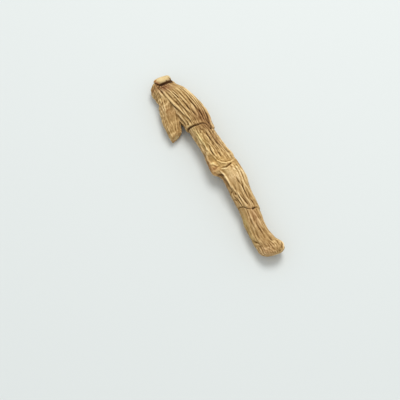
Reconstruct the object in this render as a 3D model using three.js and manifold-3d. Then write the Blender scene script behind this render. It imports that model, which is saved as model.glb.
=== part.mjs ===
// A dried costus root, lying on its side: one grown piece, sold whole.
//
// The crown is at -X, where the root was cut from its plant and pale wood stands out of the bark. The tip is at +X.
// A short side leg hugs the crown on its -Y side. Joints in the bark ring the root, and a broken rootlet leaves a
// stub beside the middle one. The bark is furrowed lengthwise, and the underside is flat where the root lay to dry.
//
// Millimetres, +Z up. The origin is under the middle of the root's box, on the surface that it rests on.

import * as THREE from "three";
import { mergeVertices } from "three/addons/utils/BufferGeometryUtils.js";
import Module from "manifold-3d";

// The root's centre line and girth at stations along X: [x, y, z, half width, half height].
const STATIONS = [
  [-63, -0.1, 7.4, 4.9, 5.2],
  [-59, 0.2, 7.2, 5.2, 5.9],
  [-53, 2.3, 7.0, 6.6, 6.7],
  [-46, 3.8, 7.0, 7.4, 7.2],
  [-38, 4.8, 7.0, 7.9, 7.5],
  [-30, 4.8, 7.0, 7.4, 7.5],
  [-22, 4.3, 7.0, 6.5, 7.0],
  [-13, 4.4, 7.2, 6.5, 6.6],
  [-4, 4.6, 7.4, 7.0, 6.6],
  [4, 5.2, 7.4, 6.8, 6.5],
  [11, 5.7, 7.0, 6.0, 6.0],
  [20, 4.4, 6.4, 5.7, 5.8],
  [31, 3.3, 5.7, 5.1, 5.5],
  [41, 1.5, 5.2, 5.2, 5.3],
  [49, 1.5, 5.2, 5.7, 5.5],
  [54, 2.4, 5.4, 6.7, 5.9],
  [58, 2.5, 5.3, 6.0, 5.7],
];

// How each cross-section leans, as its shift in x for each mm of y and of z from its centre: [x, for y, for z].
// The face of the crown looks up, and the joints run aslant round the root.
const LEANS = [
  [-66, 0.13, 0.66],
  [-48, 0.15, 0],
  [-24, 0.3, 0],
  [5, 0.25, 0],
  [31, 0.4, 0],
  [46, 0.25, 0],
  [62, 0.2, 0],
];

// The origin's place among the stations.
const ORIGIN = { x: -4, y: 0.2 };

// The ends of the root: where the crown's bark ends, how far the pale wood stands out of it, and the rounded tip.
const CROWN_RIM_X = -63.4;
const PLUG_HEIGHT = 2.2;
const PLUG_SHARE = 0.9; // the pale wood's girth, as a share of the bark's
const TIP_X = 59.6;
const TIP_ROUNDING = 3.6;
const TIP_FACE_SHARE = 0.35; // the girth of the tip's blunt end

// The side leg's centre line and radius: [x, y, z, radius]. It is ribbed, and wrinkled across.
const LEG = [
  [-66, -2.0, 5.6, 4.0],
  [-60, -3.6, 5.1, 4.8],
  [-53, -4.2, 4.8, 4.8],
  [-46, -5.5, 4.6, 4.8],
  [-39, -7.4, 4.4, 4.5],
  [-33, -8.8, 4.1, 4.1],
  [-28, -9.8, 3.8, 3.3],
];
const LEG_RIBS = 9;
const LEG_RIB_HEIGHT = 0.22;
const LEG_WRINKLE_SPACING = 5.5;
const LEG_WRINKLE_HEIGHT = 0.18;

// Joints that ring the root: the lip that ends at x, then a groove, over the turns it spans.
// A turn is measured round the root in degrees, from the top towards +Y.
const JOINTS = [
  { x: -24.2, lip: 0.45, depth: 0.7, width: 0.7, from: -200, to: 200 },
  { x: 4.2, lip: 0.2, depth: 0.5, width: 1.1, from: -45, to: 42 },
  { x: 31, lip: 0.25, depth: 0.5, width: 0.7, from: -200, to: 200 },
];
const LIP_LENGTH = 4;
const JOINT_FADE = 15; // degrees

// The stub of a broken rootlet, on the -Y side of the middle joint. It swells slowly and ends short.
const STUB = { x: 5.2, turn: -68, height: 2.3, swell: 9, end: 2, width: 26 };

// Long furrows in the dried bark, and ridges, whose depth is below 0:
// [start x, start turn, end x, end turn, depth, width in degrees].
const FURROWS = [
  [-56, -66, -30, -64, 0.6, 8],
  [-58, -42, -27, -40, 0.7, 8],
  [-57, -12, -26, -24, 0.8, 8],
  [-55, 4, -26, 16, 0.8, 8],
  [-57, 34, -27, 34, 0.7, 8],
  [-35, 64, -14, 56, -0.9, 8],
  [-22, -3, -6, -2, 0.8, 8],
  [-22, 8, -4, 22, 0.7, 7],
  [-11, -22, 1, -28, 0.7, 8],
  [-21, 36, 0, 46, 0.6, 8],
  [8, -54, 30, -8, -0.9, 9],
  [18, -20, 30, 0, 0.7, 8],
  [13, 4, 29, 24, 0.8, 8],
  [18, 38, 29, 52, 0.6, 8],
  [33, -20, 52, -20, 0.7, 8],
  [34, -2, 50, 4, 0.7, 8],
  [33, 30, 44, 58, 0.7, 8],
  [46, 38, 56, 30, 0.6, 8],
];

// Low ribs on both flanks, their number as if they went all round, and the turns between which they stand.
const FLANK = { ribs: 14, height: 0.3, from: 75, full: 100, fading: 135, to: 155, wander: 0.5, wanderLength: 9 };

// The mesh: the spacing of the rings of vertices along the root, the vertices in a ring, and both for the leg.
const RING_SPACING = 2.4;
const ROUND = 54;
const LEG_RINGS = 22;
const LEG_ROUND = 24;
const MERGE_DISTANCE = 1e-5;

// 0 below the first edge, 1 above the second, and smooth between.
const ease = (from, to, x) => THREE.MathUtils.smoothstep(x, from, to);

// 1 at 0, falling off on both sides.
const bell = (x) => Math.exp(-x * x);

// The smallest turn from direction b to direction a, in degrees.
const turnBetween = (a, b) => THREE.MathUtils.euclideanModulo(a - b + 180, 360) - 180;

// The value of one column of a table at x, on a smooth curve through its rows. Past its ends it stays level.
function along(table, column, x) {
  const last = table.length - 1;
  const inside = THREE.MathUtils.clamp(x, table[0][0], table[last][0]);
  let row = 0;
  while (row < last - 1 && inside > table[row + 1][0]) row++;
  const slope = (at) => {
    const before = table[Math.max(at - 1, 0)];
    const after = table[Math.min(at + 1, last)];
    return (after[column] - before[column]) / (after[0] - before[0]);
  };
  const span = table[row + 1][0] - table[row][0];
  const rise = table[row + 1][column] - table[row][column];
  const t = (inside - table[row][0]) / span;
  const leaving = slope(row) * span - rise;
  const arriving = rise - slope(row + 1) * span;
  return table[row][column] + t * rise + t * (1 - t) * (leaving * (1 - t) + arriving * t);
}

// The joints' part of the relief.
function jointRelief(x, turn) {
  let out = 0;
  for (const joint of JOINTS) {
    const past = x - joint.x;
    const entered = ease(joint.from - JOINT_FADE, joint.from, turn);
    const left = ease(joint.to, joint.to + JOINT_FADE, turn);
    if (past < 0) out += joint.lip * ease(-LIP_LENGTH, -joint.width, past);
    out -= joint.depth * entered * (1 - left) * bell(past / joint.width);
  }
  return out;
}

// The furrows' part of the relief. Each fades in and out over a part of its length.
function furrowRelief(x, turn) {
  let out = 0;
  for (const [startX, startTurn, endX, endTurn, depth, width] of FURROWS) {
    const t = (x - startX) / (endX - startX);
    const fade = ease(-0.1, 0.15, t) * (1 - ease(0.85, 1.1, t));
    if (fade > 0) out -= depth * fade * bell(turnBetween(turn, startTurn + (endTurn - startTurn) * t) / width);
  }
  return out;
}

// The flank ribs' part of the relief.
function flankRelief(x, turn) {
  const fromTop = Math.abs(turn);
  const share = ease(FLANK.from, FLANK.full, fromTop) * (1 - ease(FLANK.fading, FLANK.to, fromTop));
  const wander = FLANK.wander * Math.sin(x / FLANK.wanderLength);
  return share * FLANK.height * Math.cos(FLANK.ribs * THREE.MathUtils.degToRad(turn) + wander);
}

// The stub's part of the relief.
function stubRelief(x, turn) {
  const past = x - STUB.x;
  const lengthwise = bell(past / (past < 0 ? STUB.swell : STUB.end));
  const across = turnBetween(turn, STUB.turn) / STUB.width;
  return STUB.height * lengthwise * bell(across * across);
}

// Where a point of the root's lathe goes, from its x, its share of the girth and its turn in radians.
function placeOnRoot(x, share, turn) {
  const bark = ease(CROWN_RIM_X, CROWN_RIM_X + 1.5, x) * (1 - ease(TIP_X - TIP_ROUNDING, TIP_X, x));
  const degrees = THREE.MathUtils.radToDeg(turn);
  const reliefs = [jointRelief, furrowRelief, flankRelief, stubRelief];
  const out = bark * reliefs.reduce((sum, relief) => sum + relief(x, degrees), 0);
  const across = share * (along(STATIONS, 3, x) + out) * Math.sin(turn);
  const up = share * (along(STATIONS, 4, x) + out) * Math.cos(turn);
  const lean = across * along(LEANS, 1, x) + up * along(LEANS, 2, x);
  return [x + lean, along(STATIONS, 1, x) + across, along(STATIONS, 2, x) + up];
}

// Where a point of the leg's lathe goes.
function placeOnLeg(x, share, turn) {
  const ribs = LEG_RIB_HEIGHT * Math.cos(LEG_RIBS * turn);
  const wrinkles = LEG_WRINKLE_HEIGHT * Math.sin((2 * Math.PI * x) / LEG_WRINKLE_SPACING + turn);
  const radius = share * (along(LEG, 3, x) + ribs + wrinkles);
  return [x, along(LEG, 1, x) + radius * Math.sin(turn), along(LEG, 2, x) + radius * Math.cos(turn)];
}

// Where the rings of vertices stand: evenly spaced, and closer together beside each joint.
function ringPlaces(start, end) {
  const places = [];
  const steps = Math.round((end - start) / RING_SPACING);
  for (let i = 0; i <= steps; i++) {
    const x = THREE.MathUtils.lerp(start, end, i / steps);
    if (JOINTS.every((joint) => Math.abs(x - joint.x) > RING_SPACING)) places.push(x);
  }
  for (const joint of JOINTS) {
    for (let step = -2; step <= 2; step++) places.push(joint.x + step * joint.width);
  }
  return places.sort((a, b) => a - b);
}

// The root's lathe profile, from the face of the pale wood to the tip: points of (share of the girth, x).
function rootProfile() {
  const face = CROWN_RIM_X - PLUG_HEIGHT;
  const points = [
    [0, face],
    [0.5 * PLUG_SHARE, face],
    [0.85 * PLUG_SHARE, face + 0.3],
    [PLUG_SHARE, face + 1],
    [0.97 * PLUG_SHARE, CROWN_RIM_X - 0.5],
    [0.9 * PLUG_SHARE, CROWN_RIM_X],
    [0.92, CROWN_RIM_X],
    [1, CROWN_RIM_X + 0.6],
  ];
  for (const x of ringPlaces(CROWN_RIM_X + 1.2, TIP_X - TIP_ROUNDING)) points.push([1, x]);
  for (const part of [0.25, 0.5, 0.75, 0.92]) {
    const angle = (part * Math.PI) / 2;
    const share = THREE.MathUtils.lerp(TIP_FACE_SHARE, 1, Math.cos(angle));
    points.push([share, TIP_X - TIP_ROUNDING * (1 - Math.sin(angle))]);
  }
  points.push([0, TIP_X]);
  return points.map(([share, x]) => new THREE.Vector2(share, x));
}

// The leg's lathe profile, a long capsule with blunt ends.
function legProfile() {
  const start = LEG[0][0];
  const end = LEG[LEG.length - 1][0];
  const points = [];
  for (let i = 0; i <= LEG_RINGS; i++) {
    const fromMiddle = Math.abs((2 * i) / LEG_RINGS - 1);
    const share = Math.pow(1 - Math.pow(fromMiddle, 7), 0.3);
    points.push(new THREE.Vector2(share, THREE.MathUtils.lerp(start, end, i / LEG_RINGS)));
  }
  return points;
}

// A lathe of unit girth, with each of its vertices carried to its place.
function grow(profile, round, place) {
  const lathe = new THREE.LatheGeometry(profile, round);
  lathe.deleteAttribute("normal");
  lathe.deleteAttribute("uv");
  const grown = mergeVertices(lathe, MERGE_DISTANCE);
  const position = grown.getAttribute("position");
  const point = new THREE.Vector3();
  for (let i = 0; i < position.count; i++) {
    point.fromBufferAttribute(position, i);
    const [x, y, z] = place(point.y, Math.hypot(point.x, point.z), Math.atan2(-point.x, point.z));
    position.setXYZ(i, x - ORIGIN.x, y - ORIGIN.y, z);
  }
  return grown;
}

// Everything below the surface that the root rests on, within its reach.
function underground() {
  const depth = 20;
  const block = new THREE.BoxGeometry(200, 80, depth);
  block.deleteAttribute("normal");
  block.deleteAttribute("uv");
  block.translate(0, 0, -depth / 2);
  return mergeVertices(block);
}

const wasm = await Module();
wasm.setup();

function solidOf(geometry) {
  const vertProperties = new Float32Array(geometry.getAttribute("position").array);
  const triVerts = new Uint32Array(geometry.index.array);
  return new wasm.Manifold(new wasm.Mesh({ numProp: 3, vertProperties, triVerts }));
}

function geometryOf(solid) {
  const mesh = solid.getMesh();
  const geometry = new THREE.BufferGeometry();
  geometry.setAttribute("position", new THREE.BufferAttribute(mesh.vertProperties, 3));
  geometry.setIndex(new THREE.BufferAttribute(mesh.triVerts, 1));
  geometry.computeVertexNormals();
  return geometry;
}

const root = solidOf(grow(rootProfile(), ROUND, placeOnRoot));
const leg = solidOf(grow(legProfile(), LEG_ROUND, placeOnLeg));
const whole = root.add(leg).subtract(solidOf(underground()));

const bark = new THREE.MeshStandardMaterial({ color: 0xb69665, roughness: 0.9, metalness: 0 });
const costusRoot = new THREE.Mesh(geometryOf(whole), bark);
costusRoot.name = "costus_root";

const part = new THREE.Group();
part.add(costusRoot);
export default part;
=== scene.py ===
"""A dried costus root on a pale floor: its bark, its pale cut crown, its side leg, the lights and the camera.

The root's main form is that of its frame: the same stations, leans, joints, stub and leg. The bark adds ribs
that merge and split, furrows, cracks at the joints, cross wrinkles and scars, all worked out as whole arrays.
Lengths are in millimetres up to the last step, which puts them into a mesh in metres. A turn is measured
round the root in degrees, from the top towards +Y.
"""

import math

import bmesh
import bpy
import numpy as np
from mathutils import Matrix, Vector


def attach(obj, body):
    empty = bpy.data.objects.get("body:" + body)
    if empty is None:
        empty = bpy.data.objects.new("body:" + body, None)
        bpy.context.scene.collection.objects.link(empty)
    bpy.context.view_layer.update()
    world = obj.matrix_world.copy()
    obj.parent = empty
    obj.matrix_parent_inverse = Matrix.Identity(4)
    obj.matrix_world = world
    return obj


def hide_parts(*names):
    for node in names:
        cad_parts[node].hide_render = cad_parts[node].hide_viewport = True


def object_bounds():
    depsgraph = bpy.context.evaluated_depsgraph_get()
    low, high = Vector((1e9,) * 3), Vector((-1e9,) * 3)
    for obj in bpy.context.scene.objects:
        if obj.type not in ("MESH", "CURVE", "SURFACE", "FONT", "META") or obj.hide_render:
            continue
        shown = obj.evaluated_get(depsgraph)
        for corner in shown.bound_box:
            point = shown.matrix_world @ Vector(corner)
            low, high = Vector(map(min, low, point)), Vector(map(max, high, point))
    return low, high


bl_info = {
    "name": "Costus Root",
    "version": (1, 0, 0),
    "blender": (4, 5, 0),
    "location": "3D View > Sidebar > Costus Root",
    "description": "Grows a dried costus root over its frame and sets the stage for it",
    "category": "Add Mesh",
}

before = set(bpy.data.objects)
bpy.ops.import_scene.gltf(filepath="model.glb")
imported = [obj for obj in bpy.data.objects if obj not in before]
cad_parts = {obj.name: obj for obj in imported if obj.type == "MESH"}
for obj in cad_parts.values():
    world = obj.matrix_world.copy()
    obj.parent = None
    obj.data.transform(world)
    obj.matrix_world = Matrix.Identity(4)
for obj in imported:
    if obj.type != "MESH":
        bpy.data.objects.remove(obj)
FRAME_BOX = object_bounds()
MM = 0.001
ROOT_NODE = "costus_root"

# ---- The root's form ----

# The centre line and girth at stations along X: x, y, z, half width, half height.
STATIONS = [
    (-63, -0.1, 7.4, 4.9, 5.2), (-59, 0.2, 7.2, 5.2, 5.9), (-53, 2.3, 7.0, 6.6, 6.7),
    (-46, 3.8, 7.0, 7.4, 7.2), (-38, 4.8, 7.0, 7.9, 7.5), (-30, 4.8, 7.0, 7.4, 7.5),
    (-22, 4.3, 7.0, 6.5, 7.0), (-13, 4.4, 7.2, 6.5, 6.6), (-4, 4.6, 7.4, 7.0, 6.6), (4, 5.2, 7.4, 6.8, 6.5),
    (11, 5.7, 7.0, 6.0, 6.0), (20, 4.4, 6.4, 5.7, 5.8), (31, 3.3, 5.7, 5.1, 5.5), (41, 1.5, 5.2, 5.2, 5.3),
    (49, 1.5, 5.2, 5.7, 5.5), (54, 2.4, 5.4, 6.7, 5.9), (58, 2.5, 5.3, 6.0, 5.7),
]

# How each cross-section leans: x, its shift in x for each mm of y, and for each mm of z, from its centre.
LEANS = [
    (-66, 0.13, 0.66), (-48, 0.15, 0), (-24, 0.3, 0), (5, 0.25, 0), (31, 0.4, 0), (46, 0.25, 0),
    (62, 0.2, 0.35),
]

# The origin's place among the stations.
ORIGIN_X, ORIGIN_Y = -4, 0.2
# The bark is laid out flat at this radius to measure distances on it.
FLAT_RADIUS = 6.4

# The crown: the rim of the skin, how far the pale plug stands out of it, and the plug's share of the root's
# girth.
CROWN_RIM_X = -63.4
PLUG_HEIGHT = 2.2
PLUG_SHARE = 1.04
# The plug's rows: how far each is behind its face, and its share of the plug's girth.
PLUG_ROWS = [
    (0, 0.2), (0, 0.42), (0.02, 0.62), (0.1, 0.76), (0.3, 0.87), (0.6, 0.95),
    (1, 1), (1.4, 1.01), (1.75, 0.99),
]
# The rows by the rim and the first of the body's, by how far each is behind it.
RIM_ROWS = [-0.3, -0.1, 0, 0.1, 0.25, 0.45, 0.75]
BODY_START = 1.1
# A groove runs along the rim: how far behind it, and the share of the groove's depth there. At its deepest,
# this share of the girth is left.
GROOVE = [(-0.6, 0), (-0.2, 0.8), (0, 1), (0.4, 0.7), (1.3, 0)]
RIM_SHARE = 0.84
# The skin is off the plug's side between these turns, wholly from the second to the third.
PEELED_TURNS = (-120, -92, 95, 125)
# It is drawn back on the upper side: how far, between which turns, and how far along the root.
SKIN_DRAWN_BACK = 3.9
SKIN_TURNS = (-75, -35, 40, 90)
SKIN_REACH = 9
# The crown is worn back on one side: turn, spread, how far back at most, and the x where that ends.
WORN_SIDE = (-100, 40, 1.2, CROWN_RIM_X + 10)
# The plug is narrower there: turn, spread, by what share, and from which x to which it widens again.
PLUG_NARROWED = (-95, 30, 0.16)
PLUG_WIDENS = (CROWN_RIM_X - 0.2, CROWN_RIM_X + 3)
# The bark's relief grows up to its full height over this length behind the rim.
RELIEF_START = 1.5

# The tip: its end, the radius of its edge, its face's share of the girth, the edge's rows and how much of a
# quarter turn they go round, and the shares of the girth of the rows on its face.
TIP_X = 58.8
TIP_ROUNDING = 2.6
TIP_FACE_SHARE = 0.35
TIP_ROWS = 12
TIP_ARC = 0.96
TIP_END_SHARES = [0.24, 0.12]
# Over the tip's last stretch, of this length, its relief is worn down by this share. Its last rows are bare
# wood.
TIP_WEAR = 1
TIP_WORN = 0.5
BARE_TIP_ROWS = 3

# The side leg's centre line and radius: x, y, z, radius.
LEG = [
    (-65, -3.0, 4.6, 3.6), (-61, -3.9, 4.6, 4.2), (-56, -4.2, 4.4, 4.2), (-51, -4.8, 4.4, 4.3),
    (-46, -5.8, 4.5, 4.7), (-39, -7.4, 4.4, 4.5), (-33, -8.8, 4.1, 4.1), (-28, -9.8, 3.8, 3.3),
]
# The lengths over which the leg's head and the edge of its broken end are rounded. The head's rows start at
# this share of a quarter turn.
LEG_HEAD = 4.0
BROKEN_EDGE = 0.7
LEG_HEAD_START = 0.02
# The shares of the girth of the rows on the broken face, and how many rows at the end are bare wood.
BROKEN_FACE_SHARES = [0.6, 0.45, 0.3, 0.15]
BARE_LEG_ROWS = 5
# The break: how much of the leg it shapes, the height of its splinters, its slant, and its noise: degrees for
# each mm across, cells round, length.
BREAK_REACH = 3
BREAK_HEIGHT = 0.3
BREAK_SLANT = 0.25
BREAK_NOISE = (20, 24, 1.1)
# Distances to the leg are measured to its centre line without this much of its ends.
LEG_END_MARGIN = 3
# How far apart the leg and the root still draw each other out into a web between them, and from which x to
# which it sets in.
WEB_REACH = 7.0
WEB_START = (CROWN_RIM_X + 1, CROWN_RIM_X + 12)

# ---- The bark ----

# Joints that ring the root, each a crack under the lip of the skin before it. A crack's path goes once round
# the root, between turns of -180 and 180: turns, shifts in x and shares of the crack's depth.
FIRST_CRACK = [
    (-150, -1.2, 0.2), (-122, -1.5, 0.35), (-98, -0.7, 0.5), (-80, -0.9, 0.8), (-60, -0.4, 1), (-35, -0.1, 1),
    (-12, 0, 0.7), (8, -0.1, 0.6), (20, 1, 0.4), (30, 2.8, 0.2), (50, 3.4, 0.3), (75, 1, 0.7),
    (120, 0.4, 0.3), (165, -0.4, 0.5),
]
SECOND_CRACK = [
    (-145, -1.2, 0.4), (-90, -2, 0.3), (-40, -1, 0.8), (-12, 0.8, 0.5), (10, 0.8, 0.25), (26, 0.3, 0.9),
    (40, 0, 0.6), (60, -0.4, 0.2), (115, 0.3, 0.5), (165, -0.3, 0.2),
]
# For each: x, lip height, depth and width of the crack, and its path.
RINGS = [(-24.6, 0.8, 1.1, 0.42, FIRST_CRACK), (30.8, 0.2, 0.7, 0.35, SECOND_CRACK)]
LIP_LENGTH = 4.0
# A ring's path bends the grid's rows, fully up to the first distance from it, and not from the second on.
RING_PULL = (1, 9)
# Ribs are lower within this distance of a crack, by this share.
RING_CALM = 0.9
RING_CALMED = 0.6

# The stub of a broken rootlet: x, turn, height, swell before it, length of its end, width in degrees.
STUB = (4.8, -78, 2.4, 8, 1.9, 32)

# Ridges, whose height is above 0, and grooves: height and half width, then the places it runs through, in x
# and turn.
FOLDS = [
    (1.1, 0.5, (-63, -84), (-60, -72), (-53, -67), (-48, -66)),
    (-0.8, 0.7, (-61, -84), (-57, -78)),
    (-0.6, 0.6, (-57, -78), (-50, -77)),
    (-0.45, 0.38, (-56, -60), (-50, -63), (-44, -63), (-37, -62)),
    (-0.3, 0.4, (-51, -67), (-46, -71), (-40, -71), (-36, -68)),
    (-0.35, 0.35, (-56, -76), (-48, -79), (-40, -79)),
    (-0.5, 0.5, (-43, -78), (-39, -82), (-37, -92)),
    (-0.4, 0.4, (-46, -38), (-42, -37), (-37, -35)),
    (-0.5, 0.5, (-41, -58), (-36, -53), (-30, -47)),
    (0.5, 0.5, (-42, -50), (-34, -43), (-27, -29)),
    (-0.4, 0.4, (-41, -37), (-34, -28), (-29, -20)),
    (-0.7, 0.5, (-41, -18), (-36, -15), (-30, -3)),
    (0.4, 0.5, (-46, -10), (-38, -4), (-31, 5)),
    (-0.6, 0.45, (-46, 8), (-39, 8), (-34, 17), (-29, 24)),
    (-0.4, 0.4, (-50, 20), (-44, 20), (-40, 22)),
    (0.5, 0.7, (-50, 38), (-44, 38), (-39, 32)),
    (-0.35, 0.4, (-50, -25), (-45, -20), (-43, -14)),
    (0.4, 0.5, (-57, -48), (-50, -51), (-43, -52), (-37, -50)),
    (0.35, 0.5, (-58, -30), (-50, -30), (-46, -27)),
    (1.0, 0.6, (-36, 57), (-31, 57), (-26, 48), (-20.5, 44)),
    (-0.7, 0.5, (-27, 34), (-24, 34), (-20.5, 34)),
    (0.5, 0.6, (-31, -80), (-28, -76), (-25.5, -68)),
    (0.35, 0.5, (-22, -46), (-18, -41), (-14, -43)),
    (-0.8, 0.45, (-21, -8), (-15, -3), (-9, -4), (-3, -7), (0, -11)),
    (0.5, 0.5, (-18, -11), (-10, -13)),
    (0.4, 0.4, (-21, 3), (-18, 6), (-15, 7)),
    (0.4, 0.4, (-20.5, 10), (-18, 12), (-15, 12)),
    (-0.6, 0.42, (-19, 14), (-14, 17), (-10, 18)),
    (-0.5, 0.42, (-19, 21), (-14, 25), (-8, 24)),
    (-0.5, 0.4, (-16, 16), (-11, 21), (-7, 27)),
    (-0.65, 0.4, (-10, -26), (-6, -30), (-3, -29)),
    (0.5, 0.4, (-8, -25), (-2, -23)),
    (-0.55, 0.5, (-8, 33), (-4, 46)),
    (0.7, 0.6, (-10, 48), (-2, 64)),
    (0.4, 0.4, (-8, 8), (-4, 22), (0, 26)),
    (-0.3, 0.35, (-0.6, -30), (1.5, -20), (2.4, 0), (1.9, 22)),
    (0.65, 0.45, (0.3, -30), (2.4, -22), (3.5, -6), (3.1, 18), (2.1, 37)),
    (-0.7, 0.45, (3.9, 18), (4.7, 0), (5.4, -17), (4.8, -34)),
    (0.35, 0.5, (5.6, -42), (5.8, -34), (6.3, -19)),
    (-0.6, 0.5, (1.6, -58), (3.4, -51), (3.4, -40)),
    (0.45, 0.5, (-7, -50), (-5, -60), (-2.6, -63), (0.6, -60)),
    (-0.9, 0.6, (7.6, -66), (9.2, -60)),
    (1.0, 0.6, (6.8, -50), (10, -51), (14, -46), (20, -36)),
    (0.9, 0.6, (20, -32), (23, -25), (27, -20), (30, -14)),
    (0.7, 0.6, (21, -6), (25.4, 0), (29, 10)),
    (0.6, 0.6, (13.6, 13), (17, 22), (20.5, 34), (25.6, 47)),
    (-0.6, 0.5, (13, -5), (18, 9), (24, 15), (28, 24)),
    (-0.6, 0.4, (23, -20), (26, -13), (30, -3)),
    (0.4, 0.9, (22, -45), (25.5, -36), (29.5, -25)),
    (-0.5, 0.45, (23.5, -52), (25.5, -47), (28.5, -42)),
    (-0.4, 0.4, (26, 28), (29, 35)),
    (0.6, 0.6, (18, 46), (23, 50), (27, 60)),
    (-0.5, 0.5, (24, -66), (25.5, -56)),
    (0.4, 0.7, (32, -13), (37, -14), (42, -12)),
    (0.6, 0.8, (33, 2), (36, 15), (43, 25)),
    (-0.45, 0.4, (35, 38), (38, 41), (42, 48)),
    (-0.35, 0.5, (36, -2), (39, -4)),
    (-0.35, 0.6, (37, -25), (42, -28)),
    (-0.35, 0.5, (40, 1), (44, 5), (49, 1)),
    (-0.35, 0.5, (44, -24), (49, -29)),
    (-0.35, 0.5, (49, 26), (52, 16)),
    (0.5, 2.2, (45, -66), (48, -62)),
    (-0.6, 0.6, (49, -66), (50.5, -54)),
    (-0.4, 0.4, (53, -82), (57, -88)),
    (0.35, 0.6, (54.5, 58), (56.5, 50), (58.5, 38)),
    (-0.1, 0.5, (56, 38), (57.6, 22), (58, 8)),
]
# A fold starts and ends at this share of a half turn of the sine that shapes its height.
FOLD_START = 0.06
# It is only worked out this far before and after its x, unless it is one straight line or turns back.
FOLD_MARGIN = 4

# Small pits, and knobs, whose depth is below 0: x, turn, radius, depth.
PITS = [
    (31.6, 12, 0.7, 1.1), (31.2, 24, 0.6, 1.0), (53.7, 47, 2.0, -0.7), (19.6, -64, 0.6, 0.7),
    (0.6, -50, 0.9, -0.45), (4.4, -60, 0.8, 0.6), (21.7, -43, 0.6, 0.6), (55.4, -6, 0.5, 0.35),
    (55.4, -23, 0.5, 0.35), (-40, -80, 0.8, 0.8), (-27, -58, 0.6, 0.6),
]

# Stretches where the ribs are lower, by this share at most: x, reach, turn, spread in degrees.
SMOOTHED = 0.8
SMOOTH = [
    (15, 6, -33, 14), (-19, 4, -62, 16), (9, 5, -15, 25), (1.5, 2.5, -14, 40), (8, 4, -40, 12),
    (21.5, 4, -40, 9), (26, 4, -52, 16), (-14, 5, 17, 9), (-30, 5, -23, 7),
]

# Coats of ribs: the segment between rings, start and end x, ribs round the root, length of a rib, height, how
# even.
COATS = [
    (0, -66, -52, 17, 14, 0.18, 0.5), (0, -52, -20, 25, 40, 0.31, 0.8), (0, -52, -20, 13, 30, 0.22, 0.5),
    (0, -52, -20, 17, 14, -0.1, 0.2), (1, -30, -18, 19, 8, 0.22, 0.5), (1, -20, 1, 20, 22, 0.27, 0.65),
    (1, -20, 1, 11, 16, 0.23, 0.3), (1, -20, 1, 18, 9, -0.1, 0.1), (1, -2, 9, 12, 3.5, 0.12, 0),
    (1, 5, 34, 15, 26, 0.32, 0.75), (1, 5, 34, 9, 16, 0.24, 0.3), (1, 5, 34, 18, 8, -0.08, 0.1),
    (2, 26, 53, 11, 26, 0.2, 0.6), (2, 26, 53, 7, 16, 0.13, 0.3), (2, 30, 54, 18, 8, -0.08, 0.1),
    (2, 51, 62, 25, 7, 0.17, 0.3), (2, 51, 62, 17, 3.5, 0.12, 0), (1, -23, -4, 24, 5, 0.12, 0),
    (0, -63, -56, 24, 2.4, 0.24, 0),
]
# Each sets in and ends within this distance of its start and of its end.
COAT_FADE = 2.5
# Slow noise makes ribs wander: its cells round the root, how far even ones go, in ribs, and merging ones, in
# degrees.
RIB_WANDER = (6, 1.1, 5)
# Merging ribs are made of noise times this factor, in cells as long as this share of a rib.
MERGING_GAIN = 1.9
MERGING_LENGTH = 0.7
# A factor, and what is then taken off, bring ribs to between -1 and 1, or close.
RIB_SPREAD, RIB_MIDDLE = 2.6, 1.2
FURROW_ROUNDING = 0.25
# Ribs lie closer together about this turn and the one opposite: how many degrees they are drawn there at
# most, and the same for the grid's columns.
CROWDED_TURN = -12
RIB_CROWDING = 14
COLUMN_CROWDING = 10
# The leg's coats: ribs round it, length of a rib, height, how even, seed.
LEG_COATS = [(18, 26, 0.27, 0.6, 101), (24, 7, -0.14, 0.1, 111)]
# Where the leg is narrower: x, reach, turn, spread in degrees, depth. All of it is this much fuller than its
# radius.
LEG_WAIST = (-51.5, 6, -100, 60, 1.1)
LEG_FULLNESS = 0.2
# The leg's crumbs: their height up to the first x, and how much lower they are from the second on.
LEG_CRUMBLY = (-47, -41)
LEG_CRUMBS = 0.36
LEG_CRUMBS_LOST = 0.21

# Noise: cells round the root, their length, and its height, or how far it shifts what it acts on.
DENTS = [(5, 9, 0.35), (9, 4.5, 0.25)]
RING_WOBBLE = (15, 30, 0.2)
CRACK_UNEVENNESS = (8, 20, 0.4)
FOLD_WOBBLE_X = (9, 6, 0.22)
FOLD_WOBBLE_TURN = (9, 8, 2.2)
# Each coat's height is this share of what its row says, give or take its unevenness.
COAT_MEAN = 0.8
COAT_UNEVENNESS = (9, 8, 0.5)
LEG_TWIST = (5, 5, 8)
LEG_DENTS = (4, 5, 0.4)
LEG_CRUMB_NOISE = (9, 1.9, 1)
# Brings the noise to between -1 and 1, or close.
NOISE_GAIN = 1.5
# The seeds of the noise. What comes from a list adds its place there, and a coat's ribs add it so many times.
RING_SEED, CRACK_SEED, COAT_SEED, FOLD_SEED, DENT_SEED, UNEVENNESS_SEED = 11, 12, 21, 61, 71, 91
SEEDS_A_COAT = 3
TWIST_SEED, LEG_DENT_SEED, CRUMB_SEED, BREAK_SEED = 100, 121, 122, 123

# ---- The grid ----

# Points round the root, its rows' spacing, how many places that is reckoned at, and where rows are added: x,
# reach, spacing.
ROUND = 256
ROW_SPACING = 0.5
ROW_SAMPLES = 4000
CLOSE_ROWS = [*((place, 1.2, 0.2) for place, *_ in RINGS), (3, 3, 0.4)]
# The same for the leg: points round it, rows along it, and rows on its head.
LEG_ROUND = 110
LEG_ROWS = 84
LEG_HEAD_ROWS = 12
# Where leg and root meet, the mesh is smoothed: up to how many steps away, the share of it that each step
# keeps, how often, and the share of the way to the neighbours' mean.
SEAM_REACH = 4
SEAM_SPREAD = 0.8
SEAM_SMOOTHING = 7
SEAM_PULL = 0.5
# The last stretch before a side of the frame's box, in which the bark is drawn in to stay inside, in metres.
SIDE_MARGIN = 0.6 * MM
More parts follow.
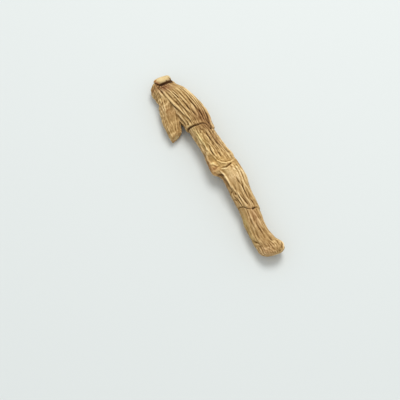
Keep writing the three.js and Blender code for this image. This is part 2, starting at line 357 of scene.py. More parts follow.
# Vertices are at one place where their coordinates are the same in steps of this, in metres. So many bits
# hold a coordinate in such steps.
SAME_PLACE = 1e-4 * MM
PLACE_BITS = 21

# ---- Tone and tints ----

# Tone compares how far a point stands out with those about it: rows each way, what part of all columns each
# way, as one in so many, and the difference that counts as 1. It stays within this limit. Low tone is
# painted shade in furrows and hollows, the wider reach most of all, and high tone is painted highlight on
# the crests.
TONE_REACHES = [(2, 64, 0.19), (6, 20, 0.9)]
TONE_LIMIT = 1.9
# How much darker cracks, the groove by the plug and the line between leg and root are. The groove's and
# the line's darkening is painted shade.
RING_SHADE = 2.2
RIM_SHADE = 4.5
SEAM_SHADE = 0.4
# The groove's painted shade by the plug is darkest this far behind the rim, with this reach. It has all of
# its shade from the second of these turns on, and lacks this share of it up to the first.
RIM_DARK = (0.15, 0.75)
RIM_FADE = (-78, -46)
RIM_FADED = 0.65
# Dark marks on the plug's side: x, reach, turn, spread in degrees, amount; and how much darker they make it.
PLUG_MARKS = [(-62, 2.2, 42, 5, 0.9), (-61.3, 0.7, 10, 6, 0.5), (-60.8, 0.6, 26, 5, 0.5)]
MARK_SHADE = 2.2
# Skin shows on the plug from the first of these shares of the girth to the second, more and more, and in a
# stain: turn, spread in degrees, amount.
SKIN_SHARES = (0.8, 0.97)
STAIN = (-62, 20, 0.55)
# The same shares for the leg's break, and those from which to which its face sets in. Its splinters change
# its tone by this.
BREAK_SKIN_SHARES = (0.45, 0.9)
BREAK_FACE_SHARES = (0.95, 0.75)
BREAK_SHADE = 1.5
# How far on each side of the line between leg and root the grain turns from the one to the other.
GRAIN_BLEND = 5.0

# Where the bark takes another tint, some of them painted highlight and painted shade: x, reach, turn, spread
# in degrees, amount.
TINTS = {
    "golden": [
        (1, 6, -32, 45, 0.8), (4, 3, 30, 30, 0.5), (-16, 6, -25, 25, 0.3), (2.5, 2, -52, 10, 1.0),
        (5, 3, -76, 13, 1.0), (4, 2, -58, 10, 0.6),
    ],
    # Pale: those at turns of about 70, along the right edge, are painted highlight; several on the shaded
    # left flanks are painted light; the rest is bark worn light.
    "pale": [
        (10, 5, 0, 45, 1.0), (-15, 7, 48, 14, 0.3), (-22, 2.5, -70, 14, 0.8), (-11, 4, -50, 16, 0.7),
        (7.5, 2.5, -38, 12, 0.7), (11, 4, -35, 14, 0.8), (-38, 6, -71, 12, 0.8), (-18.5, 3, -36, 9, 0.5),
        (2.4, 1.7, -50, 9, 1.0), (-23.5, 3, 45, 6, 1.0), (7.5, 3, 23, 10, 0.5), (25, 4, -25, 30, 0.3),
        (-47, 5, 42, 18, 0.6), (46, 9, 52, 18, 0.5), (-48, 9, 72, 14, 1.0), (-34, 5, 74, 12, 0.8),
        (-12, 9, 70, 15, 1.0), (14, 9, 70, 14, 0.9), (42, 8, 72, 14, 0.8), (40, 7, -45, 22, 0.3),
        (55.5, 3, 62, 14, 0.9), (-61, 3, -76, 7, 0.9),
    ],
    # Brown: those at x 4 and 13 about turn -85 are partly the stub's reddish underside and partly painted
    # shade beneath it; the rest is the bark's own browner colour.
    "brown": [
        (-30, 6, 20, 38, 0.82), (-27, 5, 22, 40, 0.3), (-57, 3.5, -34, 38, 1.0), (-58.5, 1.4, -76, 8, 0.9),
        (-60.5, 2.5, -72, 16, 0.8), (-22.5, 2.5, 15, 45, 0.5), (-14, 7, 24, 24, 0.7),
        (-1.5, 4.5, -72, 14, 0.9), (4, 4, -84, 14, 0.6), (4, 1.6, -57, 10, 1.0), (20, 8, 10, 60, 0.14),
        (42, 12, 0, 90, 0.24), (13, 5, -85, 18, 0.7),
    ],
    "rosy": [
        (5, 3, -70, 14, 0.4), (36, 6, 5, 25, 0.5), (56, 4, -45, 50, 0.5), (-56, 3.0, -30, 36, 0.8),
    ],
    "green": [
        (-19, 6, -48, 12, 0.2), (38, 4, -62, 18, 0.5), (-14, 6, -38, 14, 0.25), (46, 5, -70, 20, 0.3),
    ],
}

# The same for the leg. Its first brown spot is painted shade in the hollow by its head, and its pale spot
# painted light on its flank, which lies in shade.
LEG_TINTS = {"brown": [(-59.6, 2.2, -50, 30, 0.9), (-42, 4, 20, 30, 0.3)], "pale": [(-44, 4, -40, 60, 0.6)]}

# ---- The stage ----

# In metres, but for the lens and the sensor, which are in millimetres.
FLOOR_WIDTH = 4.0
CAMERA_AIM = (0.0168, -0.0173, 0.007)
CAMERA_LENS = 77.0
CAMERA_SENSOR = 36
KEY_DIRECTION = (-0.3, 0.32, 0.9)
KEY_DISTANCE = 1.2
KEY_WIDTH = 0.6
SKY_COLOUR = (0.95, 0.975, 1.0)


def ease(start, end, x):
    """0 up to start, 1 from end on, and 3t^2 - 2t^3 between, where t is the share of the way."""
    t = np.clip((x - start) / (end - start), 0, 1)
    return t * t * (3 - 2 * t)


def window(opens, opened, closes, closed, x):
    """1 between opened and closes, 0 outside opens and closed, with an ease on each side."""
    return ease(opens, opened, x) * (1 - ease(closes, closed, x))


def bell(x):
    """e to the power of -x^2: 1 at 0, falling off on both sides."""
    return np.exp(-x * x)


def turn_between(a, b):
    """The smallest turn from direction b to direction a, in degrees."""
    return (a - b + 180) % 360 - 180


def spot(x, turn, place, reach, middle, spread, amount):
    """An amount at one place of the bark, times a bell of the way from it in x and another of that in
    turn."""
    return amount * bell((x - place) / reach) * bell(turn_between(turn, middle) / spread)


def along(table, column, x):
    """The table's column at each x: a cubic from row to row, whose slope at a row is that between its
    neighbours."""
    rows = np.asarray(table, float)
    at, values = rows[:, 0], rows[:, column]
    slopes = np.gradient(values, at, edge_order=1)
    slopes[1:-1] = (values[2:] - values[:-2]) / (at[2:] - at[:-2])
    inside = np.clip(x, at[0], at[-1])
    row = np.clip(np.searchsorted(at, inside, side="right") - 1, 0, len(at) - 2)
    span = at[row + 1] - at[row]
    rise = values[row + 1] - values[row]
    t = (inside - at[row]) / span
    leaving = slopes[row] * span - rise
    arriving = rise - slopes[row + 1] * span
    return values[row] + t * rise + t * (1 - t) * (leaving * (1 - t) + arriving * t)


def wavy(turn, x, cells_round, cell_length, seed):
    """Gradient noise between about -1 and 1: slopes drawn at the corners of a lattice, which closes on itself
    round the root, blended with the quintic 6t^5 - 15t^4 + 10t^3."""
    draws = np.random.default_rng(seed)
    u = turn / 360 * cells_round
    v = x / cell_length
    low = math.floor(float(v.min()))
    rows = math.ceil(float(v.max())) - low + 2
    angle = draws.uniform(0, 2 * math.pi, (cells_round, rows))
    column, row = np.floor(u).astype(int), np.floor(v).astype(int)
    du, dv = u - column, v - row

    def corner(right, up):
        slope = angle[(column + right) % cells_round, row + up - low]
        return np.cos(slope) * (du - right) + np.sin(slope) * (dv - up)

    fade_u = du**3 * (du * (6 * du - 15) + 10)
    fade_v = dv**3 * (dv * (6 * dv - 15) + 10)
    near = corner(0, 0) * (1 - fade_u) + corner(1, 0) * fade_u
    far = corner(0, 1) * (1 - fade_u) + corner(1, 1) * fade_u
    return NOISE_GAIN * (near * (1 - fade_v) + far * fade_v)


def noise(kind, turn, x, seed):
    """Wavy noise times the height of its kind."""
    cells_round, cell_length, height = kind
    return height * wavy(turn, x, cells_round, cell_length, seed)


def round_bottomed(value):
    """The size of a value, as the root of its square and a small square, so that the turn at 0 isn't
    sharp."""
    return np.sqrt(value**2 + FURROW_ROUNDING**2) - FURROW_ROUNDING


def ribs(turn, x, ribs_round, length, even, seed):
    """Ribs from about -1 in the furrows to 1 on the crests: the size of a sine of the turn where they are
    even, and of noise where they merge and split. Slower noise makes all of them wander."""
    cells, even_wander, merging_wander = RIB_WANDER
    wander = wavy(turn, x, cells, length, seed)
    waves = round_bottomed(np.sin(np.pi * (turn / 360 * ribs_round + even_wander * wander)))
    splits = wavy(turn + merging_wander * wander, x, ribs_round, MERGING_LENGTH * length, seed + 1)
    merging = np.minimum(round_bottomed(MERGING_GAIN * splits), 1)
    return RIB_SPREAD * (even * waves + (1 - even) * merging) - RIB_MIDDLE


def crowded(turn, most):
    """A turn drawn from the crowded ones by the sine of twice its distance from them, so even steps of it lie
    close together there. With a negative amount, even steps give turns that lie close together there."""
    return turn + most * np.sin(2 * np.radians(turn - CROWDED_TURN))


def to_path(x, turn, path):
    """The distance over the flat bark to a path of straight lines, and the share of the path passed there."""
    corners = np.array([(x_here, math.radians(turn_here) * FLAT_RADIUS) for x_here, turn_here in path])
    around = np.radians(turn) * FLAT_RADIUS
    nearest = np.full(x.shape, np.inf)
    passed = np.zeros_like(x)
    done = 0
    for start, step in zip(corners, np.diff(corners, axis=0)):
        length = math.hypot(*step)
        ahead, aside = x - start[0], around - start[1]
        share = np.clip((ahead * step[0] + aside * step[1]) / length**2, 0, 1)
        far = np.hypot(ahead - share * step[0], aside - share * step[1])
        passed = np.where(far < nearest, done + share * length, passed)
        nearest = np.minimum(nearest, far)
        done += length
    return nearest, passed / done


def fold_relief(x, turn):
    """The folds' heights: for each, its height times a bell of the distance to its path over its width, which
    falls to nothing at both ends as the root of a sine does. Noise makes the paths wander a little."""
    wandering_x = x + noise(FOLD_WOBBLE_X, turn, x, FOLD_SEED)
    wandering_turn = turn + noise(FOLD_WOBBLE_TURN, turn, x, FOLD_SEED + 1)
    out = np.zeros_like(x)
    for height, width, *path in FOLDS:
        near = (x[:, 0] > path[0][0] - FOLD_MARGIN) & (x[:, 0] < path[-1][0] + FOLD_MARGIN)
        if path[0][0] > path[-1][0] or len(path) == 2:
            near = np.ones_like(near)
        distance, passed = to_path(wandering_x[near], wandering_turn[near], path)
        fading = np.sqrt(np.sin(np.pi * (FOLD_START + (1 - 2 * FOLD_START) * passed)))
        out[near] += height * bell(distance / width) * fading
    return out


def ring_path(path, turn):
    """How far a ring's path is from its place at each turn, a cubic through its shifts and a little noise,
    and the share of its crack's depth there, a cubic through its shares."""
    loop = [(path[-1][0] - 360, *path[-1][1:]), *path, (path[0][0] + 360, *path[0][1:])]
    shift = along(loop, 1, turn) + noise(RING_WOBBLE, turn, np.zeros_like(turn), RING_SEED)
    return shift, along(loop, 2, turn)


def ring_relief(x, turn, bark):
    """The lips and cracks of the rings, the number of rings passed, how dark a crack makes each place, and
    how near a crack it is, up to 1. A lip rises smoothly up to its crack."""
    out, passed, dark, beside = np.zeros((4, *x.shape))
    for place, lip, depth, width, path in RINGS:
        shift, strength = ring_path(path, turn)
        past = x - place - shift
        out += lip * np.where(past < 0, ease(-LIP_LENGTH, -width, past), 0)
        uneven = bark.cracks * strength * (1 + noise(CRACK_UNEVENNESS, turn, x, CRACK_SEED))
        crack = depth * (uneven * bell(past / width))
        out -= crack
        dark += crack
        passed += past > 0
        beside += bell(past / RING_CALM)
    return out, passed, dark, beside


def root_relief(x, turn, bark):
    """How far the bark stands out from the plain girth at each place, in mm: the sum of the rings, the coats
    of ribs, the dents, the folds, the stub and the pits. With it, how dark the cracks make each place."""
    out, segment, dark, beside = ring_relief(x, turn, bark)
    rough = bark.ribs * (1 - RING_CALMED * beside)
    for place in SMOOTH:
        rough *= 1 - spot(x, turn, *place, SMOOTHED)
    for number, (part, start, end, ribs_round, length, height, even) in enumerate(COATS):
        weight = window(start - COAT_FADE, start + COAT_FADE, end - COAT_FADE, end + COAT_FADE, x)
        uneven = COAT_MEAN + noise(COAT_UNEVENNESS, turn, x, UNEVENNESS_SEED + number)
        seed = COAT_SEED + SEEDS_A_COAT * number
        rows = ribs(crowded(turn, RIB_CROWDING), x, ribs_round, length, even, seed)
        out += np.where(segment == part, weight, 0) * rough * height * uneven * rows
    for number, kind in enumerate(DENTS):
        out += noise(kind, turn, x, DENT_SEED + number)
    out += bark.folds * fold_relief(x, turn)
    stub_x, stub_turn, height, swell, end, width = STUB
    past = x - stub_x
    across = turn_between(turn, stub_turn) / width
    out += height * bell(past / np.where(past < 0, swell, end)) * bell(across * across)
    for place, middle, radius, depth in PITS:
        reach = np.hypot(x - place, np.radians(turn_between(turn, middle)) * FLAT_RADIUS)
        out -= depth * bell(reach / radius)
    return out, dark


def leg_gap(x, y, z):
    """The distance from each place to the plain leg."""
    at = np.clip(x, LEG[0][0] + LEG_END_MARGIN, LEG[-1][0] - LEG_END_MARGIN)
    aside, above = y - along(LEG, 1, at), z - along(LEG, 2, at)
    return np.sqrt((x - at) ** 2 + aside**2 + above**2) - along(LEG, 3, at)


def root_gap(x, y, z):
    """About the distance from each place to the plain root: how far it is outside the ellipse at its x."""
    wide, high = along(STATIONS, 3, x), along(STATIONS, 4, x)
    return (np.hypot((y - along(STATIONS, 1, x)) / wide, (z - along(STATIONS, 2, x)) / high) - 1) * wide


def grain_at(points):
    """The grain's coordinates: x, then how far each place is from the centre line in y and z, so that fibres
    run along the piece. By how much nearer the leg a place is than the root, the leg's centre line takes
    over."""
    x, y, z = np.moveaxis(points, -1, 0)
    leg = ease(-GRAIN_BLEND, GRAIN_BLEND, root_gap(x, y, z) - leg_gap(x, y, z))
    at = np.clip(x, LEG[0][0], LEG[-1][0])
    middle_y = (1 - leg) * along(STATIONS, 1, x) + leg * along(LEG, 1, at)
    middle_z = (1 - leg) * along(STATIONS, 2, x) + leg * along(LEG, 2, at)
    girth = (1 - leg) * along(STATIONS, 3, x) / FLAT_RADIUS + leg
    return np.stack([x, (y - middle_y) / girth, (z - middle_z) / girth], axis=-1)


def web(gap):
    """How far a surface is drawn out towards another: a quarter of the reach where they meet, and less by the
    square of the gap between them."""
    return WEB_REACH / 4 * np.clip(1 - gap / WEB_REACH, 0, 1) ** 2


def blurred(values, steps_along, steps_round):
    """Each value's mean with those up to so many steps away: along the rows, then round the root."""
    total = np.cumsum(np.pad(values, ((steps_along + 1, steps_along), (0, 0)), mode="edge"), axis=0)
    rows = (total[2 * steps_along + 1 :] - total[: -2 * steps_along - 1]) / (2 * steps_along + 1)
    total = np.cumsum(np.pad(rows, ((0, 0), (steps_round + 1, steps_round)), mode="wrap"), axis=1)
    return (total[:, 2 * steps_round + 1 :] - total[:, : -2 * steps_round - 1]) / (2 * steps_round + 1)


def tone_of(relief):
    """How far each point stands out from those about it, near and further off: below 0 in furrows, above it
    on ribs. The bark turns it into painted shade in furrows and hollows and painted highlight on crests."""
    columns = relief.shape[1]
    tone = sum((relief - blurred(relief, rows, columns // part)) / unit for rows, part, unit in TONE_REACHES)
    return np.clip(tone, -TONE_LIMIT, TONE_LIMIT)


def root_rows(face):
    """The profile from the face of the pale plug to the tip, row by row: x, share of the girth, and how bare
    it is. The body's rows are spaced so that their density, added up from one to the next, comes to about
    1."""
    behind, plug_share = np.transpose(PLUG_ROWS)
    plug_x = face + behind
    rim_x = CROWN_RIM_X + np.array(RIM_ROWS)
    fine = np.linspace(CROWN_RIM_X + BODY_START, TIP_X - TIP_ROUNDING, ROW_SAMPLES)
    density = np.full_like(fine, 1 / ROW_SPACING)
    for place, reach, spacing in CLOSE_ROWS:
        density += bell((fine - place) / reach) / spacing
    count = np.concatenate([[0], np.cumsum((density[1:] + density[:-1]) / 2 * np.diff(fine))])
    body_x = np.interp(np.linspace(0, count[-1], int(count[-1])), count, fine)
    angle = np.linspace(0, TIP_ARC, TIP_ROWS + 1)[1:] * np.pi / 2
    tip_x = TIP_X - TIP_ROUNDING * (1 - np.sin(angle))
    tip_share = TIP_FACE_SHARE + (1 - TIP_FACE_SHARE) * np.cos(angle)
    xs = np.concatenate([plug_x, rim_x, body_x, tip_x, np.full(len(TIP_END_SHARES), TIP_X)])
    skin_share = np.ones(len(rim_x) + len(body_x))
    shares = np.concatenate([PLUG_SHARE * plug_share, skin_share, tip_share, TIP_END_SHARES])
    row = np.arange(len(xs))
    bare = (row <= len(plug_x)) | (row >= len(xs) - BARE_TIP_ROWS)
    return xs, shares, bare.astype(float)


def tinted(x, turn, places):
    """How far the bark takes a tint: the sum of its spots, at most 1."""
    return np.minimum(sum((spot(x, turn, *place) for place in places), np.zeros_like(x)), 1)


def grow_root(bark):
    """The root as a grid of points, rows along it and columns round it, and what its bark is like at each
    point.

    A point at row x and turn a is the centre at x, plus the girth with its relief, times the row's share,
    along (sin a, cos a) in y and z, and is pushed in x by the lean of its cross-section. Rows follow the
    rings' paths by a window about each ring, and are pushed back by the rim: on the upper side, and by a bell
    of the turn where the crown is worn."""
    face = CROWN_RIM_X - bark.plug_height / MM
    xs, shares, bare = root_rows(face)
    turns = crowded(np.arange(ROUND) * 360 / ROUND - 180, -COLUMN_CROWDING)
    x, turn = np.meshgrid(xs, turns, indexing="ij")
    upper = window(*SKIN_TURNS, turn)
    peeled = window(*PEELED_TURNS, turn)
    groove_x, groove_depth = np.transpose(GROOVE)
    groove = np.interp(x, CROWN_RIM_X + groove_x, groove_depth)
    share = shares[:, None] * (1 - (1 - RIM_SHARE) * groove * peeled)
    narrow_turn, narrow_spread, narrower = PLUG_NARROWED
    by_plug = 1 - ease(*PLUG_WIDENS, x)
    share = share * (1 - narrower * by_plug * bell(turn_between(turn, narrow_turn) / narrow_spread))
    by_rim = window(face, CROWN_RIM_X, CROWN_RIM_X, CROWN_RIM_X + SKIN_REACH, x)
    # Painted shade in the groove between the plug and the rim of the skin, fainter on one side.
    faded = 1 - RIM_FADED * (1 - ease(*RIM_FADE, turn))
    darkest, dark_reach = RIM_DARK
    painted_groove_shade = -RIM_SHADE * faded * peeled * bell((x - CROWN_RIM_X - darkest) / dark_reach)
    tip_wear = 1 - TIP_WORN * ease(TIP_X - TIP_WEAR, TIP_X, x)
    barked = ease(CROWN_RIM_X, CROWN_RIM_X + RELIEF_START, x) * tip_wear
    full, none = RING_PULL
    for place, *_, path in RINGS:
        x = x + window(place - none, place - full, place + full, place + none, x) * ring_path(path, turn)[0]
    worn_turn, worn_spread, worn_back, worn_end = WORN_SIDE
    worn = bell(turn_between(turn, worn_turn) / worn_spread) * (1 - ease(CROWN_RIM_X, worn_end, x))
    x = x + SKIN_DRAWN_BACK * upper * by_rim + worn_back * worn
    stands_out, crack_dark = root_relief(x, turn, bark)
    relief = barked * stands_out
    angle = np.radians(turn)
    middle_y, middle_z, wide, high = (along(STATIONS, column, x) for column in (1, 2, 3, 4))
    beside = web(leg_gap(x, middle_y + wide * np.sin(angle), middle_z + high * np.cos(angle)))
    drawn = relief + ease(*WEB_START, x) * beside
    across = share * (wide + drawn) * np.sin(angle)
    up = share * (high + drawn) * np.cos(angle)
    lean = across * along(LEANS, 1, x) + up * along(LEANS, 2, x)
    points = np.stack([x + lean, middle_y + across, middle_z + up], axis=-1)
    marks = MARK_SHADE * bare[:, None] * tinted(x, turn, PLUG_MARKS)
    stain_turn, stain_spread, stain = STAIN
    stained = 1 - peeled + stain * bell(turn_between(turn, stain_turn) / stain_spread)
    looks = {
        "tone": tone_of(relief) + painted_groove_shade - RING_SHADE * crack_dark - marks,
        "grain": grain_at(points),
        "bare": np.broadcast_to(bare[:, None], x.shape),
        "skin": (x < 0) * ease(*SKIN_SHARES, shares[:, None]) * stained,
    }
    looks |= {tint: tinted(x, turn, places) for tint, places in TINTS.items()}
    return points, looks


def leg_rows():
    """The leg's profile from its head, inside the root, to its broken end: x and share of the girth, row by
    row. The edge of the broken end takes every other one of the head's steps."""
    start, end = LEG[0][0], LEG[-1][0]
    angle = np.linspace(LEG_HEAD_START, 1, LEG_HEAD_ROWS) * np.pi / 2
    head_x = start + LEG_HEAD * (1 - np.cos(angle))
    body_x = np.linspace(start + LEG_HEAD, end - BROKEN_EDGE, LEG_ROWS)[1:]
    edge = angle[2::2]
    edge_x = end - BROKEN_EDGE * (1 - np.sin(edge))
    edge_share = 1 - BROKEN_EDGE / LEG[-1][3] * (1 - np.cos(edge))
    xs = np.concatenate([head_x, body_x, edge_x, np.full(len(BROKEN_FACE_SHARES), end)])
    return xs, np.concatenate([np.sin(angle), np.ones(len(body_x)), edge_share, BROKEN_FACE_SHARES])


def grow_leg(bark):
    """The side leg as a grid of points, and what its bark is like: ribs and dents on a round girth about its
    own centre line. Its end is broken off, and the break's face is uneven by noise of its own."""
    xs, shares = leg_rows()
    turns = np.arange(LEG_ROUND) * 360 / LEG_ROUND - 180
    x, turn = np.meshgrid(xs, turns, indexing="ij")
    share = shares[:, None]
    twist = turn + noise(LEG_TWIST, turn, x, TWIST_SEED)
    coats = sum(
        height * ribs(twist, x, ribs_round, length, even, seed)
        for ribs_round, length, height, even, seed in LEG_COATS
    )
    relief = bark.ribs * coats - spot(x, turn, *LEG_WAIST)
    crumbly = LEG_CRUMBS - LEG_CRUMBS_LOST * ease(*LEG_CRUMBLY, x)
    crumbs = crumbly * noise(LEG_CRUMB_NOISE, turn, x, CRUMB_SEED)
    relief += noise(LEG_DENTS, turn, x, LEG_DENT_SEED) + crumbs + LEG_FULLNESS
    angle = np.radians(turn)
    middle_y, middle_z, radius = (along(LEG, column, x) for column in (1, 2, 3))
    beside = web(root_gap(x, middle_y + radius * np.sin(angle), middle_z + radius * np.cos(angle)))
    reach = share * (radius + (relief + ease(*WEB_START, x) * beside))
    across, up = reach * np.sin(angle), reach * np.cos(angle)
    broken = ease(LEG[-1][0] - BREAK_REACH, LEG[-1][0], x)
    spread, cells, length = BREAK_NOISE
    rough = wavy(across * spread, up, cells, length, BREAK_SEED)
    x = x + broken * (BREAK_HEIGHT * rough - BREAK_SLANT * reach * np.sin(angle))
    points = np.stack([x, middle_y + across, middle_z + up], axis=-1)
    face = ease(*BREAK_FACE_SHARES, share) * broken
    bare = np.arange(len(xs)) >= len(xs) - BARE_LEG_ROWS
    looks = {
        "tone": tone_of(relief) * (1 - face) + BREAK_SHADE * face * rough,
        "grain": grain_at(points),
        "bare": np.broadcast_to(bare[:, None], x.shape).astype(float),
        "skin": ease(*BREAK_SKIN_SHARES, share) * broken,
    }
    looks |= {tint: tinted(x, turn, LEG_TINTS.get(tint, [])) for tint in TINTS}
    return points, looks


def with_ends(grid):
    """The grid's values as a list, followed by the means of its first and of its last row."""
    return np.vstack([grid.reshape(-1, grid.shape[-1]), grid[0].mean(axis=0), grid[-1].mean(axis=0)])


def closed_mesh(name, points, looks):
    """A mesh over a grid that closes round, with a point in the middle of each end. Its faces point out."""
    rows, columns = points.shape[:2]
    vertices = with_ends(points) - (ORIGIN_X, ORIGIN_Y, 0)
    ring = np.arange(columns)
    following = (ring + 1) % columns
    row = np.arange(rows - 1)[:, None] * columns
    quads = np.stack([row + ring, row + columns + ring, row + columns + following, row + following], axis=-1)
    head, tail = (np.full(columns, rows * columns + end) for end in (0, 1))
    base = (rows - 1) * columns
    caps = [np.stack([head, ring, following], -1), np.stack([tail, base + following, base + ring], -1)]
    faces = quads.reshape(-1, 4).tolist() + np.vstack(caps).tolist()
    mesh = bpy.data.meshes.new(name)
    mesh.from_pydata((vertices * MM).tolist(), [], faces)
    for look, values in looks.items():
        write(mesh, look, with_ends(values.reshape(rows, columns, -1)))
    return mesh


def neighbour_means(values, edges):
    """For each vertex, the mean of a value over the vertices that an edge joins to it."""
    total = np.zeros_like(values)
    degree = np.zeros((len(values), 1))
    for here, there in ((0, 1), (1, 0)):
        np.add.at(total, edges[:, here], values[edges[:, there]])
        np.add.at(degree, edges[:, here], 1)
    return total / degree


def read(mesh, name):
    """An attribute of the mesh's vertices as an array, one row for each vertex."""
    layer = mesh.attributes[name]
    field, width = ("value", 1) if layer.data_type == "FLOAT" else ("vector", 3)
    values = np.zeros(len(mesh.vertices) * width, np.float32)
    layer.data.foreach_get(field, values)
    return values.reshape(-1, width).astype(float)


def write(mesh, name, values):
    """Puts an array, with one row for each vertex, into an attribute of the mesh, made where it isn't
    there."""
    kind, field = ("FLOAT", "value") if values.shape[1] == 1 else ("FLOAT_VECTOR", "vector")
    layer = mesh.attributes.get(name) or mesh.attributes.new(name, kind, "POINT")
    layer.data.foreach_set(field, np.ascontiguousarray(values, np.float32).ravel())


def numbers_of(items, field, each=1):
    """A whole number, or so many, that each of the mesh's edges, faces or corners holds, as an array."""
    values = np.zeros(len(items) * each, np.int32)
    items.foreach_get(field, values)
    return values


def placed(name, data):
    """A new object in the scene, which shows a mesh, a lamp or a camera."""
    piece = bpy.data.objects.new(name, data)
    bpy.context.scene.collection.objects.link(piece)
    return piece


def union_of(root, leg):
    """The two closed meshes as one, without what lies inside."""
    pieces = [placed(mesh.name, mesh) for mesh in (root, leg)]
    union = pieces[0].modifiers.new("Leg", "BOOLEAN")
    union.object = pieces[1]
    union.operation = "UNION"
    union.solver = "EXACT"
    evaluated = pieces[0].evaluated_get(bpy.context.evaluated_depsgraph_get())
    mesh = bpy.data.meshes.new_from_object(evaluated)
    for piece in pieces:
        bpy.data.objects.remove(piece)
    drop_spare_vertices(mesh)
    return mesh


def drop_spare_vertices(mesh):
    """Takes out the vertices at which only two edges meet. The faces on both sides of one would else be cut
    along the same line when the mesh is made into triangles, and fold up there."""
    editing = bmesh.new()
    editing.from_mesh(mesh)
    spare = [vertex for vertex in editing.verts if len(vertex.link_edges) == 2]
    bmesh.ops.dissolve_verts(editing, verts=spare)
    editing.to_mesh(mesh)
    editing.free()


def held_inside(place, box):
    """Places kept inside a box: what lies within a margin of a side is drawn towards it by 1 - e^-t, where t
    is how far past the margin it is, over the margin, so it never passes the side. The ground is the box's
    bottom."""
    low, high = np.asarray(box[0]), np.asarray(box[1])
    past = np.maximum(place - (high - SIDE_MARGIN), 0) / SIDE_MARGIN
    place = np.minimum(place, high - SIDE_MARGIN * np.exp(-past))
    short = np.maximum(low + SIDE_MARGIN - place, 0) / SIDE_MARGIN
    short[:, 2] = 0
    place = np.where(short > 0, low + SIDE_MARGIN * np.exp(-short), place)
    place[:, 2] = np.maximum(place[:, 2], low[2])
    return place


def place_keys(places):
    """Each place as one whole number: its three coordinates in small steps, one after the other."""
    steps = np.round(places / SAME_PLACE).astype(np.int64) + 2 ** (PLACE_BITS - 1)
    return (steps[:, 0] << 2 * PLACE_BITS) + (steps[:, 1] << PLACE_BITS) + steps[:, 2]


def joined(root, leg):
    """The root and its leg as one closed mesh, rounded where they meet, and held inside the frame's box.

    A vertex of the union takes the looks of the one that was at its place. Those on the line where the two
    meet have none, so they take their neighbours' mean. A weight that is 1 on that line, and spreads
    outwards, then draws the vertices near it to their neighbours."""
    names = ("tone", "grain", "bare", "skin", *TINTS)
    keys = place_keys(np.vstack([read(mesh, "position") for mesh in (root, leg)]))
    given = {name: np.vstack([read(mesh, name) for mesh in (root, leg)]) for name in names}
    mesh = union_of(root, leg)
    place = read(mesh, "position")
    order = np.argsort(keys)
    found = order[np.minimum(np.searchsorted(keys, place_keys(place), sorter=order), len(keys) - 1)]
    known = (keys[found] == place_keys(place))[:, None].astype(float)
    looks = {name: values[found] * known for name, values in given.items()}
    edges = numbers_of(mesh.edges, "vertices", 2).reshape(-1, 2)
    seam = 1 - known
    while known.min() == 0:
        share = neighbour_means(known, edges)
        fresh = (share > 0) & (known == 0)
        divisor = np.where(share > 0, share, 1)
        for name, values in looks.items():
            looks[name] = np.where(fresh, neighbour_means(values * known, edges) / divisor, values)
        known = np.where(fresh, 1.0, known)
    for _ in range(SEAM_REACH):
        seam = np.maximum(seam, SEAM_SPREAD * neighbour_means(seam, edges))
    pull = SEAM_PULL * np.minimum(seam * 2, 1)
    for _ in range(SEAM_SMOOTHING):
        for values in (place, looks["tone"]):
            values += pull * (neighbour_means(values, edges) - values)
    # Painted shade along the line where leg and root meet.
    looks["tone"] -= SEAM_SHADE * seam
    write(mesh, "position", held_inside(place, FRAME_BOX))
    for name, values in looks.items():
        write(mesh, name, values)
    return mesh


def is_closed(mesh):
    """Whether each edge of the mesh lies between two faces, no more and no fewer."""
    corners = numbers_of(mesh.loops, "edge_index")
    return len(corners) > 0 and bool(np.all(np.bincount(corners, minlength=len(mesh.edges)) == 2))


# ---- Materials ----

# The fibres' long and short strands: how far they are drawn out along the grain, their part in the sum, and
# the detail, roughness and distortion of their noise. The short ones are this much finer.
LONG_STRANDS = (9.0, 0.6, 4.0, 0.6, 0.3)
SHORT_STRANDS = (3.5, 0.4, 3.0, 0.55, 0.0)
SHORT_FINENESS = 1.9
# A streak is 0 where the sum is the first of these, and 1 where it is the second.
STREAK_ENDS = (0.32, 0.68)
# How fine the fibres of the bark and of the wood are, in strands for each millimetre across the grain.
BARK_FINENESS, WOOD_FINENESS = 1.1, 1.2
# Noise on the bark: how far it is drawn out along the grain, cells for each millimetre, detail and roughness.
PATCHES = (2.0, 0.13, 2.0, 0.55)
SPECKLE = (1.8, 1.5, 4.0, 0.65)
# How far the speckle shifts the tone, the tones at the ends of the ramp of bark colours, and its stops.
SPECKLE_TONE = 2.4
RAMP_TONES = (-2.0, 1.5)
RAMP_STOPS = {"crack": 0.0, "furrow": 0.3, "bark": 0.58, "rib": 0.9}
# Cells of the wood's blotches and pores for each metre, and how far the blotches shift the edge of the skin.
BLOTCHES, PORES = 260.0, 700.0
SKIN_BLOTCHES = 1.2
# Bumps: their depth in metres, how strong they are on bark and wood, and the speckle's part in those of the
# bark.
BUMP_DEPTH = 0.4 * MM
BARK_BUMPS, WOOD_BUMPS = 0.7, 0.6
SPECKLE_BUMPS = 0.7
SPECULAR = 0.3
FLOOR_ROUGHNESS = 0.9


def paint(red, green, blue):
    """A colour given in steps of 0 to 255, as the linear colour that Blender reckons with."""
    shades = np.array([red, green, blue]) / 255
    return tuple(np.where(shades <= 0.04045, shades / 12.92, ((shades + 0.055) / 1.055) ** 2.4).tolist())


def shader_node(tree, kind, inputs=None, **settings):
    """A node of the tree with these settings. An input's value is a number, a colour or a socket to link."""
    node = tree.nodes.new(kind)
    for name, value in settings.items():
        setattr(node, name, value)
    set_inputs(tree, node, inputs or {})
    return node


def set_inputs(tree, node, inputs):
    """Gives a node's inputs their values, or links them."""
    for name, value in inputs.items():
        if isinstance(value, bpy.types.NodeSocket):
            tree.links.new(value, node.inputs[name])
        else:
            node.inputs[name].default_value = value


